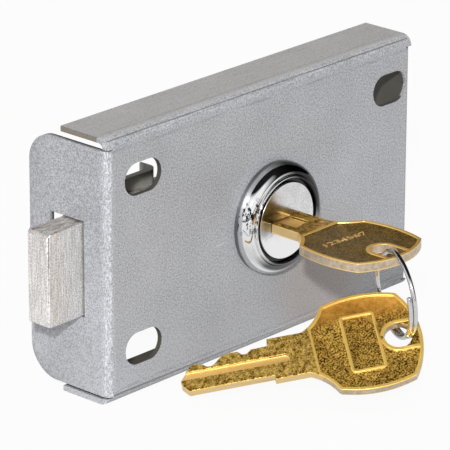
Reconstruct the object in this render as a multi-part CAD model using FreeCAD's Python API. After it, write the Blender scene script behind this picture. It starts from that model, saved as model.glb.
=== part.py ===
# Locker lock: a folded sheet-metal case with a key-driven dead bolt, a disc-wafer
# cylinder, a key in its keyway and a spare key hanging from it on a split ring.
#
# Millimetres. X runs along the case to the right, Y runs back through the case,
# Z is up. The origin is the centre of the four mounting slots, on the front face.
import FreeCAD, Part
import math
import os

from FreeCAD import Vector

# Case: one folded sheet, open at the back
case_left = -53.6
case_width = 103.5
case_height = 63.5
sheet = 1.3
top_flange_depth = 14.3
bottom_flange_depth = 14.3
side_flange_depth = 24.3
level_bend_radius = 2.6
side_bend_radius = 1.8
side_flange_below_top = 3.0
side_flange_above_bottom = 2.0
rear_corner_top_radius = 7.0
rear_corner_bottom_radius = 8.0
corner_relief = 0.4

# Mounting slots, centred on the origin
slot_length = 11.8
slot_width = 7.7
slot_spacing_x = 84.3
slot_spacing_z = 40.5

# Cylinder and its trim, on an axis along Y
cylinder_x = 1.3
cylinder_z = -0.8
barrel_radius = 9.3
barrel_rear = 18.0
barrel_flat = 8.5
barrel_head_radius = 9.95
barrel_head_front = -3.5
plug_radius = 6.75
plug_head_radius = 8.85
plug_head_front = -3.95
plug_head_depth = 1.35
trim_radius = 13.4
trim_skirt_height = 1.0
trim_crown_radius = 10.95
trim_crown_height = 4.0
trim_valley_radius = 10.75
trim_valley_height = 3.9
trim_lip_rise = 0.35
trim_lip_height = 4.55
trim_lip_gap = 0.12
trim_foot = 0.8
nut_across_flats = 24.0
nut_thickness = 2.9
washer_radius = 13.4
washer_thickness = 0.6
washer_teeth = 20
washer_tooth_depth = 1.3
washer_tooth_gap = 1.6
cap_sheet = 0.35
cap_skirt_depth = 1.4

# Turning parts at the back of the plug
tail_square = 8.0
tail_corner_radius = 5.2
tail_groove_radius = 3.36
tail_beyond_clip = 0.2
stop_thickness = 0.6
stop_radius = 7.0
stop_tab_length = 2.1
stop_tab_half_angle = 12.0
stop_play = 1.0
lug_span = 25.0
lug_height = 0.5
lug_gap = 0.4
plug_sweep = 90.0
cam_thickness = 1.5
cam_hub_radius = 7.0
cam_arm_radius = 4.0
pin_radius = 2.0
pin_proud = 0.6
clip_thickness = 0.5
cam_clip_radius = 5.5
cam_clip_mouth = 5.8

# Wafers in the plug
wafer_count = 5
wafer_first_y = 1.5
wafer_pitch = 3.0
wafer_thickness = 1.0
wafer_height = 13.2
wafer_width = 6.8
spring_diameter = 0.9
spring_length = 3.9

# Bolt and the slide plate that carries it
bolt_reach = 11.0
bolt_length = 44.6
bolt_depth = 6.6
bolt_height = 22.2
bolt_front = 7.7
bolt_z = -0.65
bolt_top_chamfer = 0.95
bolt_end_chamfer = 0.45
hole_above_bolt = 0.4
hole_before_bolt = 0.4
hole_behind_bolt = 3.6
slide_sheet = 1.6
slide_end_gap = 0.7
slide_wide_length = 31.0
slide_height = 28.8
slide_corner_radius = 2.0
joggle_start = -23.3
joggle_run = 4.0
joggle_bend_radius = 1.2
slide_tail_front = 21.1
slide_tail_end = 31.5
slide_tail_height = 16.0
ear_width = 12.0
ear_height = 11.8
rivet_radius = 1.6
rivet_head_radius = 2.6
rivet_head_height = 0.9
rivet_x = -37.0
rivet_spacing_x = 19.0
rivet_spacing_z = 15.0

# Studs that guide the slide
stud_radius = 2.5
stud_shoulder_radius = 4.0
bolt_stud_x = -33.0
tail_stud_x = 25.0
stud_groove_radius = 2.0
stud_clip_radius = 4.4
stud_clip_mouth = 3.6
stud_tip = 0.5

# Keys: k runs from the shoulder to the end of the bow, c across, n through
key_thickness = 2.3
blade_length = 20.8
blade_tip = -0.9
blade_tip_bevel_along = 1.4
blade_tip_bevel_across = 1.85
blade_below = 4.35
blade_above = 3.6
shank_half_width = 5.4
shank_length = 8.0
neck_half_width = 10.6
neck_end = 13.2
neck_hollow = 0.8
bow_shoulder_run = 1.4
bow_shoulder_rise = 0.9
bow_shoulder_middle_run = 0.5
bow_shoulder_middle_rise = 0.6
bow_half_width = 12.6
bow_widest = 22.5
bow_corner_half_width = 11.1
bow_corner = 31.0
key_length = 34.6
key_rim = 0.8
key_relief = 0.35
key_field_start = 10.2
key_hole_radius = 3.15
key_hole_at = 29.2
hole_ridge = 0.9
groove_width = 1.9
groove_offset = -0.35
groove_depth = 0.6
groove_end = 4.2
recess_far_side = -1.9
recess_near_side = 3.3
recess_far_end = 4.6
recess_near_end = 5.7
recess_depth = 0.7
recess_corner_radius = 0.5
frame_start = 17.0
frame_length = 8.2
frame_half_width = 7.6
frame_ridge = 0.7
frame_corner_radius = 1.0
keyway_drop = 0.55

# Bitting, as (k, c) along the upper edge of the blade from the tip
bitting = [
    (-17.8, 2.5),
    (-15.5, 2.1),
    (-14.4, 1.2),
    (-13.2, 1.2),
    (-12.3, 1.9),
    (-10.9, 3.1),
    (-9.6, 3.6),
    (-7.0, 3.6),
    (-6.1, 2.6),
    (-5.0, 2.6),
    (-4.0, 3.5),
]

# Split ring: one and a half turns of wire, with a short sideways step halfway
wire_radius = 0.55
ring_radius = 9.92
ring_turn_gap = 0.42
ring_start_angle = -56.0
ring_step_angle = 150.0
ring_step_turn = 50.0
ring_end_angle = 470.0
ring_arc_turn = 90.0
ring_normal = Vector(0.882, -0.461, 0.100)
ring_hang = Vector(-0.306, -0.721, -0.622)
ring_out_of_hole = 0.7
ring_beside_hole = 0.9

# Spare key, hung on the ring
spare_along = Vector(0.767, -0.625, 0.146)
spare_across = Vector(0.453, 0.687, 0.568)
spare_hole_from_ring = Vector(-1.44, -2.08, -9.54)

# Fits
running_gap = 0.05
thin_gap = 0.1
slide_gap = 0.3
key_gap = 0.1
blade_end_gap = 0.2
pin_slot_gap = 0.35

# Places that follow from the sizes
case_right = case_left + case_width
case_top = case_height / 2
case_bottom = -case_height / 2
side_top = case_top - side_flange_below_top
side_bottom = case_bottom + side_flange_above_bottom
bore_radius = plug_radius + running_gap
barrel_hole = barrel_radius + thin_gap
head_seat = plug_head_front + plug_head_depth + running_gap
cap_radius = plug_head_radius + cap_sheet
cap_front = plug_head_front - cap_sheet
counterbore_radius = cap_radius + thin_gap
plug_end = barrel_rear + running_gap
stop_rear = plug_end + stop_thickness
cam_front = stop_rear + running_gap
cam_rear = cam_front + cam_thickness
clip_front = cam_rear + running_gap
tail_end = clip_front + clip_thickness + tail_beyond_clip
keyway_z = cylinder_z - keyway_drop
keyway_half_height = key_thickness / 2 + key_gap
keyway_half_width = blade_below + key_gap
window_half_width = keyway_half_width + key_gap
window_half_height = keyway_half_height + key_gap
key_shoulder = cap_front - running_gap
keyway_floor = key_shoulder + blade_length + blade_end_gap
bolt_outer_end = case_left - bolt_reach
bolt_inner_end = bolt_outer_end + bolt_length
bolt_back = bolt_front + bolt_depth
slide_back = bolt_back + slide_sheet
slide_start = case_left + sheet + slide_end_gap
slide_tail_rear = slide_tail_front + slide_sheet
pin_throw = bolt_reach / (2 * math.sin(math.radians(plug_sweep / 2)))
pin_rest_angle = 90.0 + plug_sweep / 2
stud_slot_half_width = stud_radius + slide_gap
ring_level = wire_radius + ring_turn_gap / 2


def facing_front(y):
    """Places (x, z) on a plane across the case at depth y."""
    return lambda x, z: Vector(x, y, z)


def seen_from_above(z):
    """Places (x, y) on a level plane at height z."""
    return lambda x, y: Vector(x, y, z)


def seen_from_side(x):
    """Places (y, z) on an upright plane across the case at x."""
    return lambda y, z: Vector(x, y, z)


def on_key(k, c):
    """Places (k, c) on the key's middle plane, in the key's own frame."""
    return Vector(k, c, 0)


def rounded_wire(corners, place):
    """Closed wire through corners (a, b) or (a, b, radius), rounded by tangent arcs."""
    flat = [Vector(corner[0], corner[1], 0) for corner in corners]
    arcs = {}
    stops = []
    for index, corner in enumerate(corners):
        point = flat[index]
        radius = corner[2] if len(corner) == 3 else 0.0
        if radius <= 0.0:
            stops.append((point, point))
            continue
        back = (flat[index - 1] - point).normalize()
        ahead = (flat[(index + 1) % len(flat)] - point).normalize()
        half = back.getAngle(ahead) / 2
        reach = radius / math.tan(half)
        bisector = (back + ahead).normalize()
        middle = point + bisector * (radius / math.sin(half) - radius)
        entry = point + back * reach
        leave = point + ahead * reach
        stops.append((entry, leave))
        arcs[index] = Part.Arc(*[place(p.x, p.y) for p in (entry, middle, leave)]).toShape()
    edges = []
    for index, (entry, leave) in enumerate(stops):
        if index in arcs:
            edges.append(arcs[index])
        following = stops[(index + 1) % len(stops)][0]
        if leave.distanceToPoint(following) > 1e-6:
            line = Part.LineSegment(place(leave.x, leave.y), place(following.x, following.y))
            edges.append(line.toShape())
    return Part.Wire(edges)


def path_wire(start, steps, place):
    """Closed wire from start: a step is (end) for a line or (through, end) for an arc."""
    edges = []
    here = start
    for step in steps:
        end = step[-1]
        if len(step) == 1:
            edges.append(Part.LineSegment(place(*here), place(*end)).toShape())
        else:
            edges.append(Part.Arc(place(*here), place(*step[0]), place(*end)).toShape())
        here = end
    return Part.Wire(edges)


def prism(wire, depth):
    """Solid swept from a closed flat wire along the vector depth."""
    return Part.Face(wire).extrude(depth)


def block(x, y, z):
    """Box between the limits (low, high) on each axis."""
    size = [limits[1] - limits[0] for limits in (x, y, z)]
    return Part.makeBox(size[0], size[1], size[2], Vector(x[0], y[0], z[0]))


def drum(radius, front, rear, x=cylinder_x, z=cylinder_z):
    """Cylinder along Y between two depths."""
    return Part.makeCylinder(radius, rear - front, Vector(x, front, z), Vector(0, 1, 0))


def ring_solid(inner, outer, front, rear, x=cylinder_x, z=cylinder_z):
    """Plain ring along Y."""
    return drum(outer, front, rear, x, z).cut(drum(inner, front - 1, rear + 1, x, z))


def turned(start, steps):
    """Solid of revolution about the cylinder axis from a profile in (radius, y)."""
    wire = path_wire(start, steps, lambda radius, y: Vector(cylinder_x + radius, y, cylinder_z))
    axis_point = Vector(cylinder_x, 0, cylinder_z)
    return Part.Face(wire).revolve(axis_point, Vector(0, 1, 0), 360)


def clip_solid(inner, outer, front, rear, opening, x, z):
    """Retaining clip: a ring with its mouth downwards."""
    ring = ring_solid(inner, outer, front, rear, x, z)
    mouth = block((x - opening / 2, x + opening / 2), (front - 1, rear + 1), (z - outer - 1, z))
    return ring.cut(mouth)


def obround(length, width, x, z, front, rear):
    """Slot tool along X with round ends."""
    ends = width / 2
    corners = [
        (x - length / 2, z - ends, ends),
        (x + length / 2, z - ends, ends),
        (x + length / 2, z + ends, ends),
        (x - length / 2, z + ends, ends),
    ]
    return prism(rounded_wire(corners, facing_front(front)), Vector(0, rear - front, 0))


def polar(radius, angle):
    """Point (x, z) round the cylinder axis; angle in degrees from +X towards +Z."""
    turn = math.radians(angle)
    return (cylinder_x + radius * math.cos(turn), cylinder_z + radius * math.sin(turn))


def make_side_flange(edge, inward):
    """Flange folded back from a short end of the front plate; inward is +1 or -1."""
    inner_bend = side_bend_radius - sheet
    profile = [
        (edge + inward * side_bend_radius, 0),
        (edge, 0, side_bend_radius),
        (edge, side_flange_depth),
        (edge + inward * sheet, side_flange_depth),
        (edge + inward * sheet, sheet, inner_bend),
        (edge + inward * side_bend_radius, sheet),
    ]
    angle_piece = prism(rounded_wire(profile, seen_from_above(side_bottom)),
                        Vector(0, 0, side_top - side_bottom))
    outline = [
        (-1, side_bottom),
        (side_flange_depth, side_bottom, rear_corner_bottom_radius),
        (side_flange_depth, side_top, rear_corner_top_radius),
        (-1, side_top),
    ]
    start = min(edge, edge + inward * side_bend_radius) - 1
    cutter = prism(rounded_wire(outline, seen_from_side(start)), Vector(side_bend_radius + 2, 0, 0))
    return angle_piece.common(cutter)


def make_case_pan():
    """Front plate with level flanges above and below and a deeper flange at each end."""
    inner_bend = level_bend_radius - sheet
    profile = [
        (0, case_bottom, level_bend_radius),
        (bottom_flange_depth, case_bottom),
        (bottom_flange_depth, case_bottom + sheet),
        (sheet, case_bottom + sheet, inner_bend),
        (sheet, case_top - sheet, inner_bend),
        (top_flange_depth, case_top - sheet),
        (top_flange_depth, case_top),
        (0, case_top, level_bend_radius),
    ]
    pan = prism(rounded_wire(profile, seen_from_side(case_left)), Vector(case_width, 0, 0))
    notch_z = (side_bottom - corner_relief, side_top + corner_relief)
    notch_y = (-1, level_bend_radius + 1)
    for edge, inward in ((case_left, 1), (case_right, -1)):
        inner = edge + inward * side_bend_radius
        outer = edge - inward
        notch_x = (min(inner, outer), max(inner, outer))
        pan = pan.cut(block(notch_x, notch_y, notch_z))
        pan = pan.fuse(make_side_flange(edge, inward))
    for x in (-slot_spacing_x / 2, slot_spacing_x / 2):
        for z in (-slot_spacing_z / 2, slot_spacing_z / 2):
            pan = pan.cut(obround(slot_length, slot_width, x, z, -1, sheet + 1))
    barrel_cut = drum(barrel_hole, -1, sheet + 1)
    flat = barrel_flat + thin_gap
    double_d = block((cylinder_x - barrel_hole - 1, cylinder_x + barrel_hole + 1),
                     (-1, sheet + 1), (cylinder_z - flat, cylinder_z + flat))
    pan = pan.cut(barrel_cut.common(double_d))
    bolt_hole = block((case_left - 1, case_left + sheet + 1),
                      (bolt_front - hole_before_bolt, bolt_back + hole_behind_bolt),
                      (bolt_z - bolt_height / 2 - hole_above_bolt,
                       bolt_z + bolt_height / 2 + hole_above_bolt))
    return pan.cut(bolt_hole).removeSplitter()


def make_trim_ring():
    """Domed ring round the cylinder: short skirt, polished crown, narrow valley and lip."""
    lip_radius = barrel_head_radius + trim_lip_gap
    crown_width = trim_radius - trim_crown_radius
    crown_rise = trim_crown_height - trim_skirt_height
    eighth = math.radians(45)
    crown_middle = (trim_crown_radius + crown_width * math.cos(eighth),
                    -trim_skirt_height - crown_rise * math.sin(eighth))
    lip_shoulder = trim_lip_height - trim_lip_rise
    lip_middle = ((lip_radius + trim_valley_radius) / 2, -trim_lip_height)
    return turned((barrel_hole, 0), [
        ((trim_radius, 0),),
        ((trim_radius, -trim_skirt_height),),
        (crown_middle, (trim_crown_radius, -trim_crown_height)),
        ((trim_valley_radius, -trim_valley_height),),
        ((trim_valley_radius, -lip_shoulder),),
        (lip_middle, (lip_radius, -lip_shoulder)),
        ((lip_radius, -trim_foot),),
        ((barrel_hole, -trim_foot),),
        ((barrel_hole, 0),),
    ])


def make_lug(centre_angle):
    """Stop lug on the back of the barrel."""
    start = centre_angle - lug_span / 2
    inner = stop_radius + lug_gap
    reach = 2 * barrel_radius
    wedge = [polar(0, 0), polar(reach, start), polar(reach, start + lug_span)]
    tool = prism(rounded_wire(wedge, facing_front(barrel_rear)), Vector(0, lug_height, 0))
    return ring_solid(inner, barrel_radius, barrel_rear, barrel_rear + lug_height).common(tool)


def make_cylinder_barrel():
    """Barrel with a rimmed head, two flats and two stop lugs on its back face."""
    barrel = turned((bore_radius, head_seat), [
        ((counterbore_radius, head_seat),),
        ((counterbore_radius, barrel_head_front),),
        ((barrel_head_radius, barrel_head_front),),
        ((barrel_head_radius, -trim_foot),),
        ((barrel_radius, -trim_foot),),
        ((barrel_radius, barrel_rear),),
        ((bore_radius, barrel_rear),),
        ((bore_radius, head_seat),),
    ])
    play = stop_tab_half_angle + stop_play + lug_span / 2
    barrel = barrel.fuse(make_lug(180.0 + play))
    barrel = barrel.fuse(make_lug(180.0 - plug_sweep - play))
    side = 2 * barrel_radius
    for flat_z in ((barrel_flat, side), (-side, -barrel_flat)):
        barrel = barrel.cut(block((cylinder_x - side, cylinder_x + side),
                                  (0, barrel_rear + lug_height + 1),
                                  (cylinder_z + flat_z[0], cylinder_z + flat_z[1])))
    return barrel.removeSplitter()


def make_nut_washer():
    """Toothed washer between the front plate and the barrel's nut."""
    washer = ring_solid(barrel_hole, washer_radius, sheet, sheet + washer_thickness)
    centre = Vector(cylinder_x, 0, cylinder_z)
    tooth_gap = block((cylinder_x + washer_radius - washer_tooth_depth, cylinder_x + washer_radius + 1),
                      (0, sheet + washer_thickness + 1),
                      (cylinder_z - washer_tooth_gap / 2, cylinder_z + washer_tooth_gap / 2))
    for index in range(washer_teeth):
        notch = tooth_gap.copy()
        notch.rotate(centre, Vector(0, 1, 0), index * 360.0 / washer_teeth)
        washer = washer.cut(notch)
    return washer


def make_barrel_nut():
    """Thin hexagon nut that clamps the barrel to the front plate."""
    front = sheet + washer_thickness
    rear = front + nut_thickness
    corner_radius = nut_across_flats / math.sqrt(3)
    corners = [polar(corner_radius, 60.0 * index) for index in range(6)]
    hexagon = prism(rounded_wire(corners, facing_front(front)), Vector(0, nut_thickness, 0))
    face_radius = nut_across_flats / 2
    bevel = (corner_radius - face_radius) / 2
    rounding = turned((0, front), [
        ((face_radius, front),),
        ((corner_radius, front + bevel),),
        ((corner_radius, rear - bevel),),
        ((face_radius, rear),),
        ((0, rear),),
        ((0, front),),
    ])
    return hexagon.common(rounding).cut(drum(barrel_hole, front - 1, rear + 1))


def make_stud(x, shoulder_rear, clip_at):
    """Stud welded to the back of the front plate, with a groove for its clip."""
    end = clip_at + clip_thickness + stud_tip
    stud = drum(stud_shoulder_radius, sheet, shoulder_rear, x, bolt_z)
    stud = stud.fuse(drum(stud_radius, sheet, end, x, bolt_z)).removeSplitter()
    groove = ring_solid(stud_groove_radius, stud_shoulder_radius, clip_at - running_gap,
                        clip_at + clip_thickness + running_gap, x, bolt_z)
    return stud.cut(groove)


def make_stud_clip(x, front):
    """Clip in the groove of a stud."""
    return clip_solid(stud_groove_radius + running_gap, stud_clip_radius, front,
                      front + clip_thickness, stud_clip_mouth, x, bolt_z)


def keyway_tool(half_width, half_height, front, rear):
    """Rectangular slot tool for the key's blade."""
    return block((cylinder_x - half_width, cylinder_x + half_width), (front, rear),
                 (keyway_z - half_height, keyway_z + half_height))


def square_tool(half, front, rear):
    """Square bar on the cylinder axis."""
    return block((cylinder_x - half, cylinder_x + half), (front, rear),
                 (cylinder_z - half, cylinder_z + half))


def wafer_front(index):
    """Depth of the front face of one wafer."""
    return wafer_first_y + index * wafer_pitch


def make_plug():
    """Plug with head, keyway, wafer slots and a square tail."""
    plug = drum(plug_head_radius, plug_head_front, plug_head_front + plug_head_depth)
    plug = plug.fuse(drum(plug_radius, plug_head_front, plug_end))
    tail = square_tool(tail_square / 2, plug_end - 1, tail_end)
    tail = tail.common(drum(tail_corner_radius, plug_end - 1, tail_end))
    plug = plug.fuse(tail).removeSplitter()
    plug = plug.cut(ring_solid(tail_groove_radius, plug_radius, clip_front - running_gap,
                               clip_front + clip_thickness + running_gap))
    plug = plug.cut(keyway_tool(keyway_half_width, keyway_half_height,
                                plug_head_front - 1, keyway_floor))
    half_width = wafer_width / 2 + running_gap
    for index in range(wafer_count):
        front = wafer_front(index) - running_gap
        plug = plug.cut(block((cylinder_x - plug_radius - 1, cylinder_x + plug_radius + 1),
                              (front, front + wafer_thickness + 2 * running_gap),
                              (cylinder_z - half_width, cylinder_z + half_width)))
    return plug


def make_face_cap():
    """Thin polished cap pressed over the plug's head, pierced for the key."""
    cap = drum(cap_radius, cap_front, plug_head_front + cap_skirt_depth)
    cap = cap.cut(drum(plug_head_radius, plug_head_front, plug_end))
    return cap.cut(keyway_tool(keyway_half_width, keyway_half_height + key_gap,
                               cap_front - 1, plug_head_front + 1))


def spring_place(index):
    """Centre height and depth of a wafer's spring."""
    pocket = wafer_width / 2 - spring_diameter / 2 - thin_gap
    return cylinder_z + pocket, wafer_front(index) + wafer_thickness / 2


def make_wafer(index):
    """Flat wafer with a window for the blade and a notch for its spring."""
    front = wafer_front(index)
    rear = front + wafer_thickness
    wafer = block((cylinder_x - wafer_height / 2, cylinder_x + wafer_height / 2), (front, rear),
                  (cylinder_z - wafer_width / 2, cylinder_z + wafer_width / 2))
    wafer = wafer.common(drum(plug_radius - thin_gap, front, rear))
    wafer = wafer.cut(keyway_tool(window_half_width, window_half_height, front - 1, rear + 1))
    notch_half = spring_length / 2 + running_gap
    spring_z = spring_place(index)[0]
    notch_floor = spring_z - spring_diameter / 2 - running_gap
    return wafer.cut(block((cylinder_x - notch_half, cylinder_x + notch_half),
                           (front - 1, rear + 1), (notch_floor, cylinder_z + wafer_width)))


def make_wafer_springs():
    """Small springs, one beside each wafer, as plain rods."""
    rods = []
    for index in range(wafer_count):
        height, depth = spring_place(index)
        start = Vector(cylinder_x - spring_length / 2, depth, height)
        rods.append(Part.makeCylinder(spring_diameter / 2, spring_length, start, Vector(1, 0, 0)))
    return Part.makeCompound(rods)


def make_stop_washer():
    """Washer on the square tail whose tab runs between the barrel's lugs."""
    washer = drum(stop_radius, plug_end, stop_rear)
    reach = stop_radius + stop_tab_length
    wedge = [polar(0, 0), polar(2 * reach, 180.0 - stop_tab_half_angle),
             polar(2 * reach, 180.0 + stop_tab_half_angle)]
    tab = prism(rounded_wire(wedge, facing_front(plug_end)), Vector(0, stop_thickness, 0))
    washer = washer.fuse(tab.common(drum(reach, plug_end, stop_rear))).removeSplitter()
    return washer.cut(square_tool(tail_square / 2 + running_gap, plug_end - 1, stop_rear + 1))


def make_cam():
    """Drive cam on the square tail, with an arm that carries the drive pin."""
    pin_x, pin_z = polar(pin_throw, pin_rest_angle)
    cam = drum(cam_hub_radius, cam_front, cam_rear)
    arm = block((cylinder_x, cylinder_x + pin_throw), (cam_front, cam_rear),
                (cylinder_z - cam_arm_radius, cylinder_z + cam_arm_radius))
    arm.rotate(Vector(cylinder_x, 0, cylinder_z), Vector(0, 1, 0), -pin_rest_angle)
    cam = cam.fuse(arm).fuse(drum(cam_arm_radius, cam_front, cam_rear, pin_x, pin_z))
    cam = cam.cut(square_tool(tail_square / 2 + running_gap, cam_front - 1, cam_rear + 1))
    pin_hole = drum(pin_radius + running_gap / 2, cam_front - 1, cam_rear + 1, pin_x, pin_z)
    return cam.cut(pin_hole).removeSplitter()


def make_cam_pin():
    """Drive pin through the cam's arm into the slide's slot."""
    pin_x, pin_z = polar(pin_throw, pin_rest_angle)
    return drum(pin_radius, cam_front, slide_tail_rear + pin_proud, pin_x, pin_z)


def make_cam_clip():
    """Clip that keeps the cam on the plug's tail."""
    return clip_solid(tail_groove_radius + running_gap, cam_clip_radius, clip_front,
                      clip_front + clip_thickness, cam_clip_mouth, cylinder_x, cylinder_z)


def rivet_places():
    """Centres (x, z) of the rivets that hold the bolt to the slide."""
    return [(rivet_x + side * rivet_spacing_x / 2, bolt_z + level * rivet_spacing_z / 2)
            for side in (-1, 1) for level in (-1, 1)]


def stud_slot(x, front, rear):
    """Guide slot for a stud that stands at x while the bolt is out."""
    length = bolt_reach + 2 * stud_slot_half_width
    return obround(length, 2 * stud_slot_half_width, x - bolt_reach / 2, bolt_z, front, rear)


def make_bolt_block():
    """Rectangular dead bolt with bevelled end edges, the top one wider, and a guide slot."""
    top = bolt_z + bolt_height / 2
    bolt = block((bolt_outer_end, bolt_inner_end), (bolt_front, bolt_back),
                 (bolt_z - bolt_height / 2, top))
    for width, of_top in ((bolt_top_chamfer, True), (bolt_end_chamfer, False)):
        edges = [edge for edge in bolt.Edges
                 if edge.BoundBox.XMax < bolt_outer_end + thin_gap
                 and (edge.BoundBox.ZMin > top - thin_gap) == of_top]
        bolt = bolt.makeChamfer(width, edges)
    bolt = bolt.cut(stud_slot(bolt_stud_x, bolt_front - 1, bolt_back + 1))
    for x, z in rivet_places():
        bolt = bolt.cut(drum(rivet_radius, bolt_front - 1, bolt_back + 1, x, z))
    return bolt


def make_slide_plate():
    """Plate that carries the bolt, stepped back to pass behind the cam."""
    slope = math.atan2(slide_tail_front - bolt_back, joggle_run)
    shift = slide_sheet * math.tan(slope / 2)
    outer_bend = joggle_bend_radius + slide_sheet
    joggle_end = joggle_start + joggle_run
    section = [
        (slide_start, bolt_back),
        (joggle_start, bolt_back, outer_bend),
        (joggle_end, slide_tail_front, joggle_bend_radius),
        (slide_tail_end, slide_tail_front),
        (slide_tail_end, slide_tail_rear),
        (joggle_end - shift, slide_tail_rear, outer_bend),
        (joggle_start - shift, slide_back, joggle_bend_radius),
        (slide_start, slide_back),
    ]
    low = bolt_z - slide_height / 2
    strip = prism(rounded_wire(section, seen_from_above(low)), Vector(0, 0, slide_height))
    wide_end = slide_start + slide_wide_length
    tail_low = bolt_z - slide_tail_height / 2
    tail_high = bolt_z + slide_tail_height / 2
    pin_x = polar(pin_throw, pin_rest_angle)[0]
    pin_low = cylinder_z + pin_throw * math.sin(math.radians(pin_rest_angle))
    pin_high = cylinder_z + pin_throw
    corner = slide_corner_radius
    outline = [
        (slide_start, low, corner),
        (wide_end, low, corner),
        (wide_end, tail_low, corner),
        (slide_tail_end, tail_low, corner),
        (slide_tail_end, tail_high, corner),
        (pin_x + ear_width / 2, tail_high, corner / 2),
        (pin_x + ear_width / 2, ear_height, corner),
        (pin_x - ear_width / 2, ear_height, corner),
        (pin_x - ear_width / 2, tail_high, corner / 2),
        (wide_end, tail_high, corner),
        (wide_end, low + slide_height, corner),
        (slide_start, low + slide_height, corner),
    ]
    face_outline = prism(rounded_wire(outline, facing_front(bolt_back - 1)),
                         Vector(0, slide_tail_rear - bolt_back + 2, 0))
    plate = strip.common(face_outline)
    slot_half = pin_radius + pin_slot_gap
    pin_slot = [
        (pin_x - slot_half, pin_low - slot_half, slot_half),
        (pin_x + slot_half, pin_low - slot_half, slot_half),
        (pin_x + slot_half, pin_high + slot_half, slot_half),
        (pin_x - slot_half, pin_high + slot_half, slot_half),
    ]
    plate = plate.cut(prism(rounded_wire(pin_slot, facing_front(slide_tail_front - 1)),
                            Vector(0, slide_sheet + 2, 0)))
    plate = plate.cut(stud_slot(bolt_stud_x, bolt_back - 1, slide_back + 1))
    plate = plate.cut(stud_slot(tail_stud_x, slide_tail_front - 1, slide_tail_rear + 1))
    for x, z in rivet_places():
        plate = plate.cut(drum(rivet_radius, bolt_back - 1, slide_back + 1, x, z))
    return plate


def make_bolt_rivets():
    """Rivets flush with the bolt's front face, headed behind the slide."""
    rivets = []
    for x, z in rivet_places():
        shank = drum(rivet_radius - running_gap, bolt_front, slide_back, x, z)
        head = drum(rivet_head_radius, slide_back, slide_back + rivet_head_height, x, z)
        rivets.append(shank.fuse(head))
    return Part.makeCompound(rivets)


def bow_steps(side):
    """Steps along one side of the bow, from the neck to its far corner."""
    neck_middle = ((shank_length + neck_end) / 2 + neck_hollow,
                   side * (shank_half_width + neck_half_width) / 2)
    corner_middle = (neck_end + bow_shoulder_middle_run,
                     side * (neck_half_width + bow_shoulder_middle_rise))
    corner_end = (neck_end + bow_shoulder_run, side * (neck_half_width + bow_shoulder_rise))
    return [
        (neck_middle, (neck_end, side * neck_half_width)),
        (corner_middle, corner_end),
        ((bow_widest, side * bow_half_width), (bow_corner, side * bow_corner_half_width)),
    ]


def reversed_steps(start, steps):
    """The same path walked backwards: its new start and its steps."""
    points = [start] + [step[-1] for step in steps]
    walked = []
    for index in range(len(steps) - 1, -1, -1):
        walked.append(steps[index][:-1] + (points[index],))
    return points[-1], walked


def make_bow_field():
    """Sunk field of the bow, inside its rim, as a flat face."""
    near = bow_steps(-1)
    far_start, far = reversed_steps((shank_length, shank_half_width), bow_steps(1))
    steps = near + [((key_length, 0), far_start)] + far
    steps.append(((shank_length, -shank_half_width),))
    bow = Part.Face(path_wire((shank_length, -shank_half_width), steps, on_key))
    field = bow.makeOffset2D(-key_rim)
    wall = 2 * bow_half_width
    keep = Part.makePlane(wall, 2 * wall, Vector(key_field_start, -wall, 0))
    return field.common(keep)


def make_hole_ridge():
    """Raised U round the ring hole, open towards the end of the bow."""
    far = key_length + 1
    tools = []
    for half in (key_hole_radius + hole_ridge, key_hole_radius):
        steps = [
            ((far, -half),),
            ((far, half),),
            ((key_hole_at, half),),
            ((key_hole_at - half, 0), (key_hole_at, -half)),
        ]
        wire = path_wire((key_hole_at, -half), steps, on_key)
        tools.append(prism(wire, Vector(0, 0, key_thickness)))
    return tools[0].cut(tools[1])


def make_name_frame():
    """Bare raised rectangle on one face of the bow."""
    tools = []
    for inset in (0, frame_ridge):
        near = frame_start + inset
        far = frame_start + frame_length - inset
        half = frame_half_width - inset
        radius = frame_corner_radius - inset
        corners = [(near, -half, radius), (far, -half, radius),
                   (far, half, radius), (near, half, radius)]
        tools.append(prism(rounded_wire(corners, on_key), Vector(0, 0, key_thickness)))
    return tools[0].cut(tools[1])


def make_key_blank():
    """Outline of blade, shank and bow through the key's full thickness."""
    edge = [(-blade_length, blade_tip)] + bitting + [(0.0, blade_above)]
    steps = [(point,) for point in edge]
    steps.append(((0.0, shank_half_width),))
    steps.append(((shank_length, shank_half_width),))
    steps += bow_steps(1)
    far_start, near = reversed_steps((shank_length, -shank_half_width), bow_steps(-1))
    steps.append(((key_length, 0), far_start))
    steps += near
    steps.append(((0.0, -shank_half_width),))
    steps.append(((0.0, -blade_below),))
    steps.append(((-blade_length + blade_tip_bevel_along, -blade_below),))
    start = (-blade_length, -blade_below + blade_tip_bevel_across)
    steps.append((start,))
    outline = path_wire(start, steps, on_key)
    blank = prism(outline, Vector(0, 0, key_thickness))
    blank.translate(Vector(0, 0, -key_thickness / 2))
    return blank


def make_narrow_groove():
    """Groove along the blade and into the shank, on the face that bears the bare frame."""
    half = groove_width / 2
    corners = [
        (-blade_length - 1, groove_offset - half),
        (groove_end, groove_offset - half, half),
        (groove_end, groove_offset + half, half),
        (-blade_length - 1, groove_offset + half),
    ]
    groove = prism(rounded_wire(corners, on_key), Vector(0, 0, key_thickness))
    groove.translate(Vector(0, 0, key_thickness / 2 - groove_depth))
    return groove


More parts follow.
